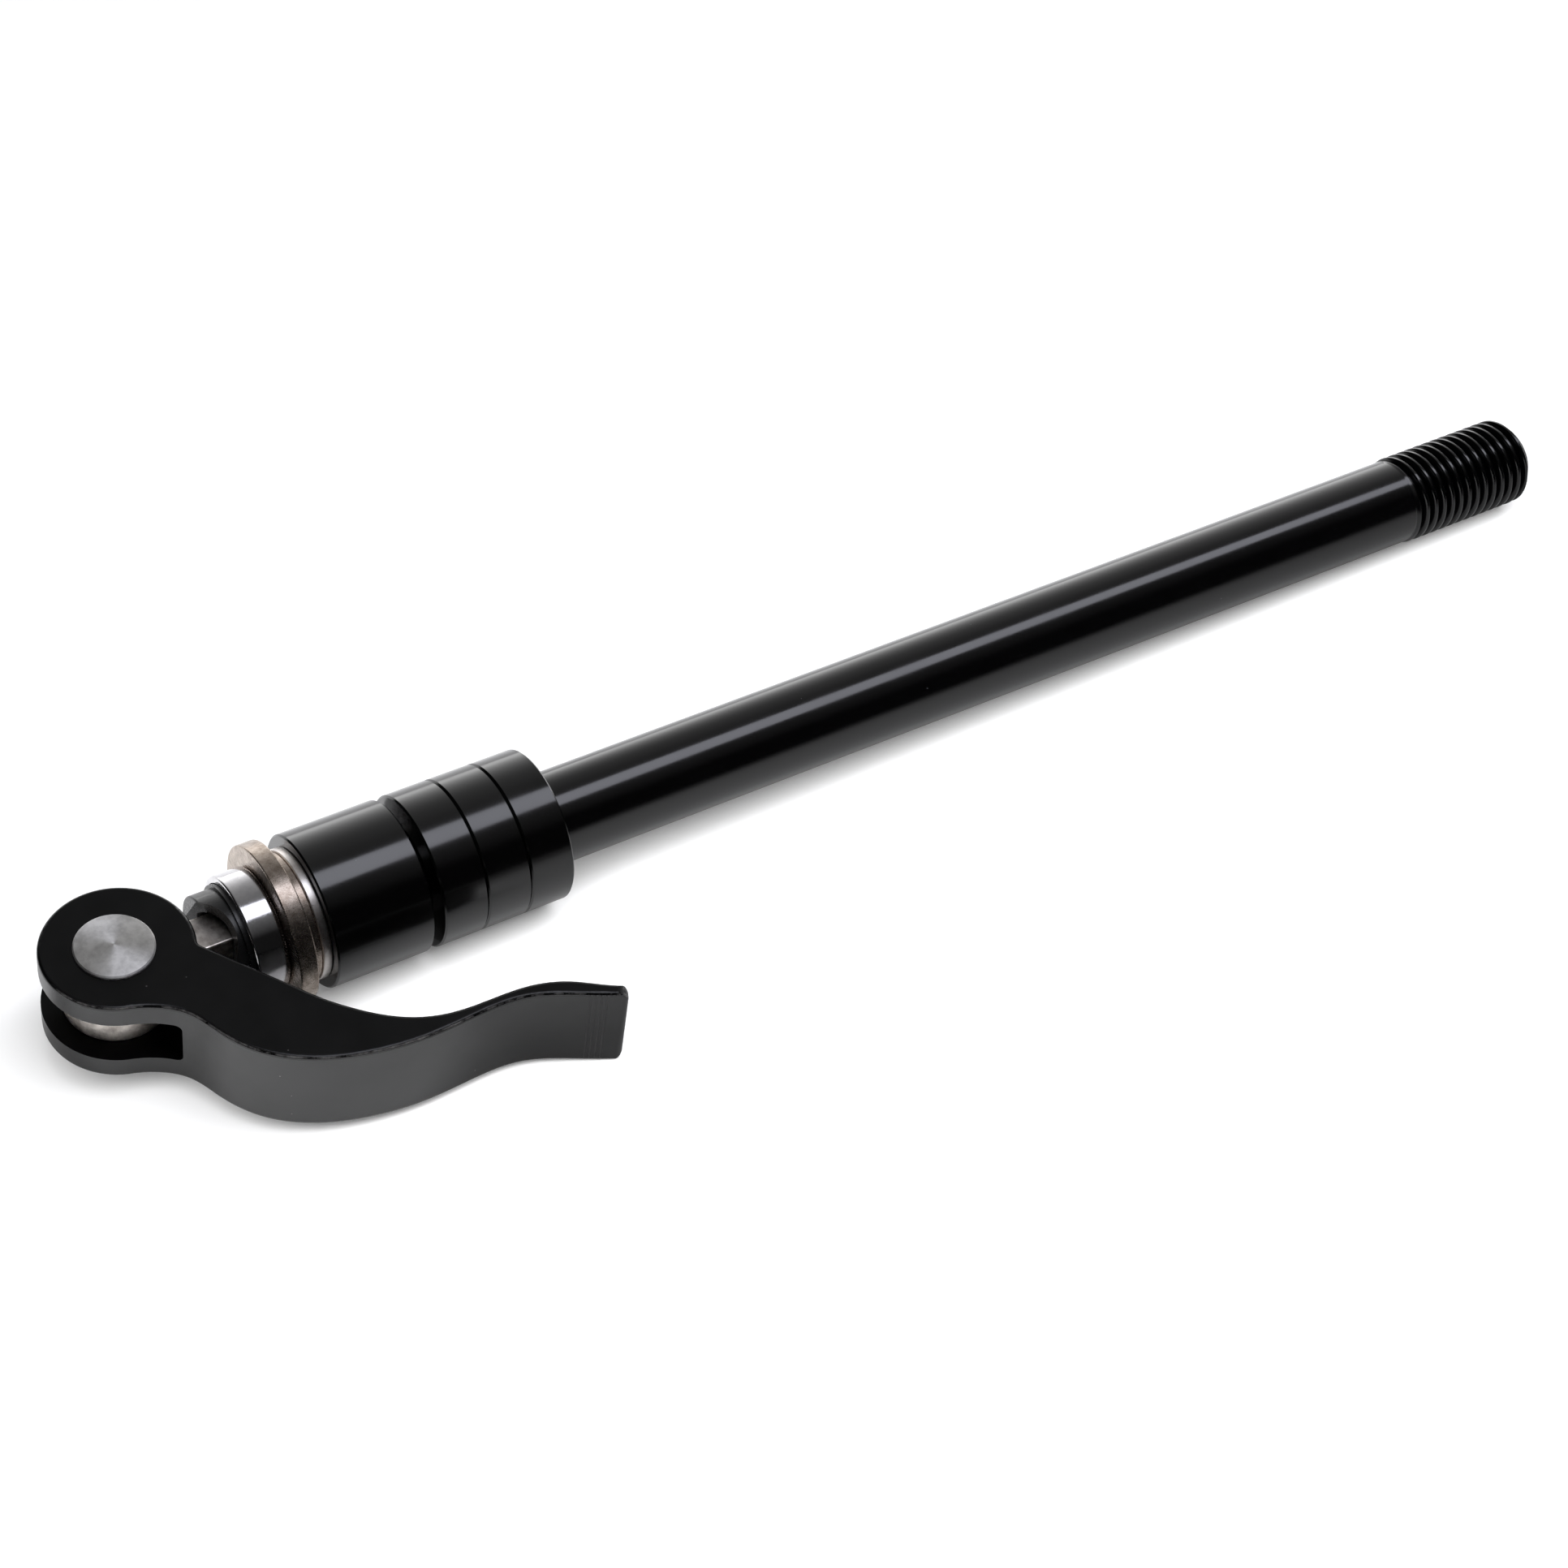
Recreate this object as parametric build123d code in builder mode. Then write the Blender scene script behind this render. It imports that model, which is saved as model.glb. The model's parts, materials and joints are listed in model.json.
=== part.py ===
"""Bicycle thru axle: cam lever, eye bolt, washers, threaded axle and three loose spacer rings.

Millimetres. +X runs along the axle from the lever to the thread and +Z is up. The origin is on the
axle's axis, at the bearing face of the outermost spacer.
"""

import os

from build123d import *

# Axle
THREAD_D = 11.95
SHAFT_RELIEF = 0.225
SHAFT_REACH = 133.6
THREAD_LENGTH = 21.6
THREAD_PITCH = 1.5
THREAD_DEPTH = 0.8
THREAD_CREST_FLAT = 0.26
THREAD_ROOT_FLAT = 0.34
THREAD_RUN_IN = 0.4
THREAD_END_CHAMFER = 1.5
HEAD_D = 19.0
HEAD_LENGTH = 12.5
HEAD_CHAMFER = 0.2
HEX_ACROSS_FLATS = 6.0
HEX_DEPTH = 10.0

# Spacer rings
SPACER_COUNT = 3
SPACER_WIDTH = 5.69
SPACER_SEAM = 0.05
SPACER_SLACK = 1.35
SPACER_EDGE = 0.2
SPACER_THREAD_CLEARANCE = 0.075

# Washers
THIN_WASHER_D = 16.2
THIN_WASHER_THICKNESS = 1.2
BOSS_D = 15.7
BOSS_LENGTH = 1.4
FLANGE_D = 19.8
FLANGE_THICKNESS = 2.3
WASHER_EDGE = 0.2
WASHER_BOLT_CLEARANCE = 0.3

# Cup ring and saddle
CUP_D = 15.1
CUP_WALL = 0.75
CUP_FLOOR = 1.0
CUP_LENGTH = 4.0
CUP_EDGE = 0.3
CUP_HEEL_R = 0.6
CUP_SADDLE_CLEARANCE = 0.1
SADDLE_NOSE_STEP = 0.4
SADDLE_STAND_OUT = 3.3
SADDLE_FLANGE_STAND_OUT = 0.5
SADDLE_TURN = 27.5
SADDLE_EDGE = 0.25
TROUGH_DEPTH = 2.3
TROUGH_LIP_DEPTH = 1.1
TROUGH_HALF_WIDTH = 3.65
NECK_HOLE_CLEARANCE = 0.2

# Eye bolt
BOLT_D = 5.0
BOLT_TAP_CLEARANCE = 0.05
BOLT_ENGAGEMENT = 24.0
BOLT_TIP_CHAMFER = 0.6
TAP_SPARE_DEPTH = 6.0
EYE_R = 6.2
EYE_THICKNESS = 6.1
EYE_EDGE = 0.3
NECK_WIDTH = 4.8
NECK_IN_SADDLE = 1.8
PIVOT_TO_SADDLE = 11.0

# Pivot pin
PIN_D = 5.0
PIN_EYE_CLEARANCE = 0.05
PIN_EAR_CLEARANCE = 0.01
PIN_HEAD_D = 9.2
PIN_HEAD_RIM = 0.4
PIN_HEAD_DOME = 0.25
PIN_END_CHAMFER = 0.4

# Lever
LEVER_WIDTH = 12.4
LEVER_EDGE = 0.5
SLOT_SIDE_CLEARANCE = 0.1
SLOT_DEPTH = 11.75
SLOT_ANGLE = -72.4
SLOT_CORNER_R = 0.8
EAR_R = 8.85
CAM_OFFSET = 0.35
EAR_START_ANGLE = -22.5
EAR_END_ANGLE = 252.0
EAR_CORNER_R = 1.0

# Lever outline, from the pivot: outer edge from the ear to the tip, then inner edge back to the ear
OUTER_EDGE = [
    (0.45, -9.55),
    (3.3, -11.85),
    (5.3, -15.85),
    (8.1, -20.2),
    (12.35, -23.5),
    (18.75, -25.85),
    (25.95, -26.7),
    (32.7, -26.4),
    (37.85, -26.7),
    (42.9, -28.75),
]
INNER_EDGE = [
    (43.35, -26.65),
    (38.85, -25.2),
    (33.8, -24.95),
    (28.65, -24.5),
    (23.1, -21.95),
    (18.6, -17.7),
    (14.85, -12.55),
]
TIP_CENTRE = (48.2, -30.6)
TIP_ANGLE = -27.0
TIP_THICKNESS = 1.5
TIP_CORNER_R = 1.7
TIP_CORNER_STEP = 0.03

# Places along the axle
THREAD_START = SHAFT_REACH
AXLE_END = SHAFT_REACH + THREAD_LENGTH
SPACER_STEP = SPACER_WIDTH + SPACER_SEAM
HEAD_SEAT = -SPACER_COUNT * SPACER_STEP + SPACER_SEAM - SPACER_SLACK
HEAD_FACE = HEAD_SEAT - HEAD_LENGTH
BOSS_FACE = HEAD_FACE - THIN_WASHER_THICKNESS
FLANGE_INNER = BOSS_FACE - BOSS_LENGTH
FLANGE_FACE = FLANGE_INNER - FLANGE_THICKNESS
CUP_MOUTH = FLANGE_FACE - CUP_LENGTH
SADDLE_SEAT = FLANGE_FACE - CUP_FLOOR
SADDLE_TIP = CUP_MOUTH - SADDLE_STAND_OUT
TROUGH_BOTTOM = SADDLE_TIP + TROUGH_DEPTH
TROUGH_LIP = SADDLE_TIP + TROUGH_LIP_DEPTH
NECK_END = TROUGH_BOTTOM + NECK_IN_SADDLE
PIVOT_X = SADDLE_TIP - PIVOT_TO_SADDLE
BOLT_TIP = HEAD_FACE + BOLT_ENGAGEMENT

# Bores and sizes that follow a mating piece
SHAFT_R = THREAD_D / 2 - SHAFT_RELIEF
SPACER_D = HEAD_D
TAP_R = BOLT_D / 2 + BOLT_TAP_CLEARANCE
WASHER_BORE_R = BOLT_D / 2 + WASHER_BOLT_CLEARANCE
SPACER_BORE_R = THREAD_D / 2 + SPACER_THREAD_CLEARANCE
SADDLE_R = CUP_D / 2 - CUP_WALL - CUP_SADDLE_CLEARANCE
NECK_HOLE_R = (NECK_WIDTH**2 + EYE_THICKNESS**2) ** 0.5 / 2 + NECK_HOLE_CLEARANCE
SLOT_WIDTH = EYE_THICKNESS + 2 * SLOT_SIDE_CLEARANCE
SLOT_REACH = SLOT_DEPTH + EAR_R + CAM_OFFSET

# Thread grooves, from the first crest to the end chamfer
THREAD_TURNS = int((THREAD_LENGTH - THREAD_RUN_IN - THREAD_END_CHAMFER) / THREAD_PITCH)
THREAD_FLANK = (THREAD_PITCH - THREAD_CREST_FLAT - THREAD_ROOT_FLAT) / 2
THREAD_ROOT_R = THREAD_D / 2 - THREAD_DEPTH
THREAD_GROOVES = []
for turn in range(THREAD_TURNS):
    crest_start = THREAD_START + THREAD_RUN_IN + turn * THREAD_PITCH
    root_start = crest_start + THREAD_CREST_FLAT + THREAD_FLANK
    THREAD_GROOVES += [
        (crest_start, THREAD_D / 2),
        (crest_start + THREAD_CREST_FLAT, THREAD_D / 2),
        (root_start, THREAD_ROOT_R),
        (root_start + THREAD_ROOT_FLAT, THREAD_ROOT_R),
    ]
THREAD_GROOVES.append((crest_start + THREAD_PITCH, THREAD_D / 2))

PIVOT_AXIS = Axis((PIVOT_X, 0, 0), (0, 0, 1))
PIVOT_PLANE = Plane(origin=(PIVOT_X, 0, 0), x_dir=(1, 0, 0), z_dir=(0, 0, 1))
PIVOT_SECTION = Plane(origin=(PIVOT_X, 0, 0), x_dir=(1, 0, 0), z_dir=(0, -1, 0))

TROUGH_PLANE = Plane(origin=(0, 0, 0), x_dir=(1, 0, 0), z_dir=Vector(0, 0, 1).rotate(Axis.X, SADDLE_TURN))

SLOT_DIRECTION = Vector(1, 0, 0).rotate(Axis.Z, SLOT_ANGLE)
SLOT_PLANE = Plane(
    origin=Vector(PIVOT_X, 0, 0) + SLOT_DIRECTION * (SLOT_DEPTH - SLOT_REACH),
    x_dir=SLOT_DIRECTION,
    z_dir=SLOT_DIRECTION.cross(Vector(0, 0, 1)),
)
TIP_DIRECTION = Vector(1, 0, 0).rotate(Axis.Z, TIP_ANGLE)
TIP_PLANE = Plane(
    origin=Vector(PIVOT_X, 0, 0) + Vector(*TIP_CENTRE) + TIP_DIRECTION * (TIP_THICKNESS / 2),
    x_dir=TIP_DIRECTION,
    z_dir=TIP_DIRECTION.cross(Vector(0, 0, 1)),
)

os.makedirs("parts", exist_ok=True)

# Axle: head, shaft and thread are one turned piece, with the thread's turns as grooves round it
with BuildPart() as axle:
    with BuildSketch(Plane.XZ):
        with BuildLine():
            Polyline(
                (HEAD_FACE, 0),
                (HEAD_FACE, HEAD_D / 2),
                (HEAD_SEAT, HEAD_D / 2),
                (HEAD_SEAT, SHAFT_R),
                (THREAD_START, SHAFT_R),
                *THREAD_GROOVES,
                (AXLE_END, THREAD_D / 2),
                (AXLE_END, 0),
                close=True,
            )
        make_face()
    revolve(axis=Axis.X)
    rims = axle.edges().filter_by(GeomType.CIRCLE)
    chamfer(rims.filter_by(lambda edge: abs(edge.radius - HEAD_D / 2) < HEAD_CHAMFER), HEAD_CHAMFER)
    chamfer(rims.sort_by(Axis.X)[-1], THREAD_END_CHAMFER)
    with BuildSketch(Plane.YZ.offset(HEAD_FACE)):
        Circle(TAP_R)
    extrude(amount=BOLT_ENGAGEMENT + TAP_SPARE_DEPTH, mode=Mode.SUBTRACT)
    with BuildSketch(Plane.YZ.offset(AXLE_END)):
        RegularPolygon(HEX_ACROSS_FLATS / 2, 6, major_radius=False)
    extrude(amount=-HEX_DEPTH, mode=Mode.SUBTRACT)
axle.part.label = "axle"
export_step(axle.part, "parts/axle.step")

# Spacer rings: equal rings, numbered from the head, bored to pass over the thread
for number in range(1, SPACER_COUNT + 1):
    right_face = -(SPACER_COUNT - number) * SPACER_STEP
    with BuildPart() as spacer:
        with BuildSketch(Plane.YZ.offset(right_face)):
            Circle(SPACER_D / 2)
            Circle(SPACER_BORE_R, mode=Mode.SUBTRACT)
        extrude(amount=-SPACER_WIDTH)
        chamfer(spacer.edges().filter_by(GeomType.CIRCLE), SPACER_EDGE)
    spacer.part.label = f"spacer_{number}"
    export_step(spacer.part, f"parts/spacer_{number}.step")

# Thin washer against the head
with BuildPart() as thin_washer:
    with BuildSketch(Plane.YZ.offset(HEAD_FACE)):
        Circle(THIN_WASHER_D / 2)
        Circle(WASHER_BORE_R, mode=Mode.SUBTRACT)
    extrude(amount=-THIN_WASHER_THICKNESS)
    outer_rims = thin_washer.edges().filter_by(GeomType.CIRCLE).group_by(SortBy.RADIUS)[-1]
    fillet(outer_rims, WASHER_EDGE)
thin_washer.part.label = "thin_washer"
export_step(thin_washer.part, "parts/thin_washer.step")

# Flanged washer: a thick flange with a narrower boss on its head side
with BuildPart() as flanged_washer:
    with BuildSketch(Plane.YZ.offset(FLANGE_FACE)):
        Circle(FLANGE_D / 2)
    extrude(amount=FLANGE_THICKNESS)
    with BuildSketch(Plane.YZ.offset(FLANGE_INNER)):
        Circle(BOSS_D / 2)
    extrude(amount=BOSS_LENGTH)
    flange_rims = flanged_washer.edges().filter_by(GeomType.CIRCLE).group_by(SortBy.RADIUS)[-1]
    fillet(flange_rims, WASHER_EDGE)
    with BuildSketch(Plane.YZ.offset(FLANGE_FACE)):
        Circle(WASHER_BORE_R)
    extrude(amount=FLANGE_THICKNESS + BOSS_LENGTH, mode=Mode.SUBTRACT)
flanged_washer.part.label = "flanged_washer"
export_step(flanged_washer.part, "parts/flanged_washer.step")

# Cup ring: thin-walled cup, open towards the lever
with BuildPart() as cup_ring:
    with BuildSketch(Plane.YZ.offset(FLANGE_FACE)):
        Circle(CUP_D / 2)
    extrude(amount=-CUP_LENGTH)
    cup_rims = cup_ring.edges().filter_by(GeomType.CIRCLE).sort_by(Axis.X)
    fillet(cup_rims[0], CUP_EDGE)
    fillet(cup_rims[-1], CUP_HEEL_R)
    with BuildSketch(Plane.YZ.offset(SADDLE_SEAT)):
        Circle(CUP_D / 2 - CUP_WALL)
    extrude(amount=-CUP_LENGTH, mode=Mode.SUBTRACT)
    with BuildSketch(Plane.YZ.offset(FLANGE_FACE)):
        Circle(WASHER_BORE_R)
    extrude(amount=-CUP_FLOOR, mode=Mode.SUBTRACT)
cup_ring.part.label = "cup_ring"
export_step(cup_ring.part, "parts/cup_ring.step")

# Cam saddle: round body in the cup, turned on the bolt, with a trough for the ears and a hole for the neck
with BuildPart() as cam_saddle:
    with BuildSketch(Plane.YZ.offset(SADDLE_SEAT)):
        Circle(SADDLE_R)
    extrude(amount=CUP_MOUTH - SADDLE_FLANGE_STAND_OUT - SADDLE_SEAT)
    with BuildSketch(Plane.YZ.offset(CUP_MOUTH - SADDLE_FLANGE_STAND_OUT)):
        Circle(SADDLE_R - SADDLE_NOSE_STEP)
    extrude(amount=SADDLE_TIP - CUP_MOUTH + SADDLE_FLANGE_STAND_OUT)
    nose_rims = cam_saddle.edges().filter_by(GeomType.CIRCLE).sort_by(Axis.X)[0]
    fillet(nose_rims, SADDLE_EDGE)
    with BuildSketch(TROUGH_PLANE.offset(-SADDLE_R)):
        with BuildLine():
            floor = ThreePointArc(
                (TROUGH_LIP, -TROUGH_HALF_WIDTH), (TROUGH_BOTTOM, 0), (TROUGH_LIP, TROUGH_HALF_WIDTH)
            )
            mouth_x = TROUGH_LIP - 2 * TROUGH_LIP_DEPTH
            mouth_half_width = TROUGH_HALF_WIDTH + 2 * TROUGH_LIP_DEPTH
            Polyline(floor @ 1, (mouth_x, mouth_half_width), (mouth_x, -mouth_half_width), floor @ 0)
        make_face()
    extrude(amount=2 * SADDLE_R, mode=Mode.SUBTRACT)
    with BuildSketch(Plane.YZ.offset(SADDLE_SEAT)):
        Circle(NECK_HOLE_R)
    extrude(amount=SADDLE_TIP - SADDLE_SEAT, mode=Mode.SUBTRACT)
cam_saddle.part.label = "cam_saddle"
export_step(cam_saddle.part, "parts/cam_saddle.step")

# Eye bolt: flat eye and neck, then a round shank into the head's tapped bore
with BuildPart() as eye_bolt:
    with BuildSketch(PIVOT_PLANE.offset(-EYE_THICKNESS / 2)):
        Circle(EYE_R)
        with Locations(((NECK_END - PIVOT_X) / 2, 0)):
            Rectangle(NECK_END - PIVOT_X, NECK_WIDTH)
    extrude(amount=EYE_THICKNESS)
    plate_rims = eye_bolt.faces().filter_by(Plane.XY).edges().sort_by(Axis.X)[:-2]
    fillet(plate_rims, EYE_EDGE)
    with BuildSketch(Plane.YZ.offset(NECK_END)):
        Circle(BOLT_D / 2)
    extrude(amount=BOLT_TIP - NECK_END)
    chamfer(eye_bolt.edges().sort_by(Axis.X)[-1], BOLT_TIP_CHAMFER)
    with BuildSketch(PIVOT_PLANE.offset(-EYE_THICKNESS / 2)):
        Circle(PIN_D / 2 + PIN_EYE_CLEARANCE)
    extrude(amount=EYE_THICKNESS, mode=Mode.SUBTRACT)
eye_bolt.part.label = "eye_bolt"
export_step(eye_bolt.part, "parts/eye_bolt.step")

# Pivot pin: turned pin with a low domed head on the upper ear
with BuildPart() as pivot_pin:
    head_rim = LEVER_WIDTH / 2 + PIN_HEAD_RIM
    with BuildSketch(PIVOT_SECTION):
        with BuildLine():
            Polyline(
                (0, head_rim + PIN_HEAD_DOME),
                (0, -LEVER_WIDTH / 2),
                (PIN_D / 2 - PIN_END_CHAMFER, -LEVER_WIDTH / 2),
                (PIN_D / 2, -LEVER_WIDTH / 2 + PIN_END_CHAMFER),
                (PIN_D / 2, LEVER_WIDTH / 2),
                (PIN_HEAD_D / 2, LEVER_WIDTH / 2),
                (PIN_HEAD_D / 2, head_rim),
            )
            dome_chord = (PIN_HEAD_D / 2) ** 2 + PIN_HEAD_DOME**2
            RadiusArc(
                (PIN_HEAD_D / 2, head_rim),
                (0, head_rim + PIN_HEAD_DOME),
                -dome_chord / (2 * PIN_HEAD_DOME),
            )
        make_face()
    revolve(axis=PIVOT_AXIS)
pivot_pin.part.label = "pivot_pin"
export_step(pivot_pin.part, "parts/pivot_pin.step")

# Lever: cam ears and curved arm in one profile, slotted for the eye
with BuildPart() as lever:
    with BuildSketch(PIVOT_PLANE.offset(-LEVER_WIDTH / 2)):
        with BuildLine():
            ear = CenterArc((CAM_OFFSET, 0), EAR_R, EAR_START_ANGLE, EAR_END_ANGLE - EAR_START_ANGLE)
            tip = CenterArc(TIP_CENTRE, TIP_THICKNESS / 2, TIP_ANGLE - 90, 180)
            Spline(ear @ 1, *OUTER_EDGE, tip @ 0)
            root = Line(INNER_EDGE[-1], ear @ 0)
            Spline(tip @ 1, *INNER_EDGE, tangents=[tip % 1, root % 0])
        make_face()
        ear_corner = vertices().sort_by_distance(ear @ 0)[0]
        fillet(ear_corner, EAR_CORNER_R)
    extrude(amount=LEVER_WIDTH)
    fillet(lever.faces().filter_by(Plane.XY).edges(), LEVER_EDGE)
    with BuildSketch(SLOT_PLANE):
        RectangleRounded(2 * SLOT_REACH, SLOT_WIDTH, SLOT_CORNER_R)
    extrude(amount=SLOT_REACH, both=True, mode=Mode.SUBTRACT)
    with BuildSketch(TIP_PLANE):
        Rectangle(2 * TIP_CORNER_R, 2 * LEVER_WIDTH)
        with Locations((-LEVER_WIDTH / 2, 0)):
            RectangleRounded(LEVER_WIDTH, LEVER_WIDTH + 2 * TIP_CORNER_STEP, TIP_CORNER_R, mode=Mode.SUBTRACT)
    extrude(amount=TIP_CORNER_R, both=True, mode=Mode.SUBTRACT)
    with BuildSketch(PIVOT_PLANE.offset(-LEVER_WIDTH / 2)):
        Circle(PIN_D / 2 + PIN_EAR_CLEARANCE)
    extrude(amount=LEVER_WIDTH, mode=Mode.SUBTRACT)
lever.part.label = "lever"
export_step(lever.part, "parts/lever.step")
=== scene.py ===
"""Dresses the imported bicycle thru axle: cuts its thread, gives every piece its finish and lights it on a pale floor.

Metres, in the part's own frame: +X runs along the axle from the lever to the thread, and +Z is up.
"""

import json
import logging
import math
from dataclasses import dataclass
from enum import Enum
from typing import Sequence

import bpy
from mathutils import Matrix, Vector

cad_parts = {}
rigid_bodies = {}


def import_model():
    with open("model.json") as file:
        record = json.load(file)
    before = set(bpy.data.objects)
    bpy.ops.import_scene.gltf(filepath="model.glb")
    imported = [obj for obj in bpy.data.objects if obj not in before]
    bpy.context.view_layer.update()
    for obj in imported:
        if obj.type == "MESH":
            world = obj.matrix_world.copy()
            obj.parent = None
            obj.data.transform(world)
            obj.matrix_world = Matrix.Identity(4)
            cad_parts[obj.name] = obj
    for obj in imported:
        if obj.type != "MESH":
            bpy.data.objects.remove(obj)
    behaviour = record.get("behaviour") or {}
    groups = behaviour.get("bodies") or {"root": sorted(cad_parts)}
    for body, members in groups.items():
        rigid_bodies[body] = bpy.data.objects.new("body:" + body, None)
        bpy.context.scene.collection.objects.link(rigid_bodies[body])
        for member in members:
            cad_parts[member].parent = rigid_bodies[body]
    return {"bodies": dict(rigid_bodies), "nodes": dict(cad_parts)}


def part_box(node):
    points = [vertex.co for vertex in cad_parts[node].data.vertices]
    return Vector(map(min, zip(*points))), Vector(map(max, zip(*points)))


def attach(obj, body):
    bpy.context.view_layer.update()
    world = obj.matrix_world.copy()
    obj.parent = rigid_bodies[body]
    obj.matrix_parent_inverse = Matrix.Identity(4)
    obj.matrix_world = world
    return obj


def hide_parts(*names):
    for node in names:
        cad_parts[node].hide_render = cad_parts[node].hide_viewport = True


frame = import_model()

LOG = logging.getLogger("thru_axle")
MM = 0.001

Socket = bpy.types.NodeSocket
Colour = tuple[float, float, float]
WHITE: Colour = (1.0, 1.0, 1.0)


class Node(Enum):
    """The CAD nodes, by their names in the frame."""

    AXLE = "axle"
    SPACER_1 = "spacer_1"
    SPACER_2 = "spacer_2"
    SPACER_3 = "spacer_3"
    THIN_WASHER = "thin_washer"
    FLANGED_WASHER = "flanged_washer"
    CUP_RING = "cup_ring"
    CAM_SADDLE = "cam_saddle"
    EYE_BOLT = "eye_bolt"
    PIVOT_PIN = "pivot_pin"
    LEVER = "lever"


class Graph:
    """Adds and links the nodes of one material."""

    def __init__(self, name: str) -> None:
        """Starts an empty material.

        Args:
            name: The material's name.
        """
        self.material = bpy.data.materials.new(name)
        self.material.use_nodes = True
        self.tree = self.material.node_tree
        self.tree.nodes.clear()

    def add(self, kind: str, settings: dict | None = None, inputs: dict | None = None) -> bpy.types.Node:
        """Adds one node.

        Args:
            kind: The node's type name.
            settings: Properties to set on the node.
            inputs: Values or sockets for its inputs, by name or number.

        Returns:
            The new node.
        """
        node = self.tree.nodes.new(kind)
        for key, value in (settings or {}).items():
            setattr(node, key, value)
        for key, value in (inputs or {}).items():
            self.feed(node, key, value)
        return node

    def feed(self, node: bpy.types.Node, key: str | int, value: object) -> None:
        """Links a socket to an input, or sets a constant on it.

        Args:
            node: The node that takes the value.
            key: The input's name or number.
            value: An output socket, a number, a vector or a colour.
        """
        if isinstance(value, Socket):
            self.tree.links.new(value, node.inputs[key])
        elif isinstance(value, tuple) and len(value) == 3 and node.inputs[key].type == "RGBA":
            node.inputs[key].default_value = (*value, 1.0)
        else:
            node.inputs[key].default_value = value

    def point(self) -> Socket:
        """Returns the place on the piece, in metres in the part's frame."""
        return self.add("ShaderNodeTexCoord").outputs["Object"]

    def facing(self) -> Socket:
        """Returns the surface's own normal, in the part's frame."""
        return self.add("ShaderNodeTexCoord").outputs["Normal"]

    def axes(self, vector: Socket) -> tuple[Socket, Socket, Socket]:
        """Splits a vector.

        Args:
            vector: The vector to split.

        Returns:
            Its x, y and z.
        """
        outputs = self.add("ShaderNodeSeparateXYZ", inputs={"Vector": vector}).outputs
        return outputs["X"], outputs["Y"], outputs["Z"]

    def vector(self, x: object, y: object, z: object) -> Socket:
        """Joins three values.

        Args:
            x: First value or socket.
            y: Second value or socket.
            z: Third value or socket.

        Returns:
            The vector.
        """
        return self.add("ShaderNodeCombineXYZ", inputs={"X": x, "Y": y, "Z": z}).outputs["Vector"]

    def mapped(self, vector: Socket, centre: Vector, scale: tuple[float, float, float]) -> Socket:
        """Centres a place on a point of the piece and stretches it.

        Args:
            vector: The place to map.
            centre: The point that becomes the origin.
            scale: The stretch along each axis, after centring.

        Returns:
            The mapped place.
        """
        moved = self.add(
            "ShaderNodeVectorMath", {"operation": "SUBTRACT"}, {0: vector, 1: tuple(centre)}
        ).outputs["Vector"]
        return self.add("ShaderNodeVectorMath", {"operation": "MULTIPLY"}, {0: moved, 1: scale}).outputs["Vector"]

    def calc(self, operation: str, *values: object) -> Socket:
        """Does sums on values.

        Args:
            operation: The Math node's operation.
            values: One to three values or sockets.

        Returns:
            The result.
        """
        return self.add("ShaderNodeMath", {"operation": operation}, dict(enumerate(values))).outputs["Value"]

    def noise(self, place: Socket, scale: float, detail: float = 2.0, roughness: float = 0.5) -> Socket:
        """Soft noise in space.

        Args:
            place: Where it is read.
            scale: Its fineness, in lumps per metre.
            detail: How many finer layers it has.
            roughness: How strong those layers are.

        Returns:
            A value of about 0.5, mostly between 0.2 and 0.8.
        """
        inputs = {"Vector": place, "Scale": scale, "Detail": detail, "Roughness": roughness}
        return self.add("ShaderNodeTexNoise", {"noise_dimensions": "3D"}, inputs).outputs["Fac"]

    def lines(self, along: Socket, scale: float, detail: float = 3.0) -> Socket:
        """Noise along one value, which draws parallel lines.

        Args:
            along: The value that it follows.
            scale: Lines per unit of that value.
            detail: How many finer layers it has.

        Returns:
            A value of about 0.5, mostly between 0.2 and 0.8.
        """
        inputs = {"W": along, "Scale": scale, "Detail": detail}
        return self.add("ShaderNodeTexNoise", {"noise_dimensions": "1D"}, inputs).outputs["Fac"]

    def specks(self, place: Socket, scale: float, size: float, share: float) -> Socket:
        """Sparse round specks.

        Args:
            place: Where they are read.
            scale: Cells per metre, each of which may hold one speck.
            size: A speck's radius as a share of a cell.
            share: The share of cells that hold one.

        Returns:
            1 in a speck and 0 elsewhere.
        """
        cells = self.add("ShaderNodeTexVoronoi", inputs={"Vector": place, "Scale": scale})
        near = self.spread(cells.outputs["Distance"], size, size * 0.5, 0.0, 1.0)
        chosen = self.calc("LESS_THAN", self.axes(cells.outputs["Color"])[0], share)
        return self.calc("MULTIPLY", near, chosen)

    def spread(self, value: Socket, low: float, high: float, first: float, last: float) -> Socket:
        """Maps a range of a value to another range and stops at its ends.

        Args:
            value: The value to map.
            low: The value that gives first.
            high: The value that gives last.
            first: The result at low.
            last: The result at high.

        Returns:
            The mapped value.
        """
        inputs = {"Value": value, "From Min": low, "From Max": high, "To Min": first, "To Max": last}
        return self.add("ShaderNodeMapRange", {"clamp": True}, inputs).outputs["Result"]

    def tint(self, factor: Socket, first: object, second: object) -> Socket:
        """Mixes two colours.

        Args:
            factor: 0 for the first and 1 for the second.
            first: A colour or socket.
            second: A colour or socket.

        Returns:
            The mixed colour.
        """
        return self.add("ShaderNodeMix", {"data_type": "RGBA"}, {0: factor, 6: first, 7: second}).outputs[2]

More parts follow.
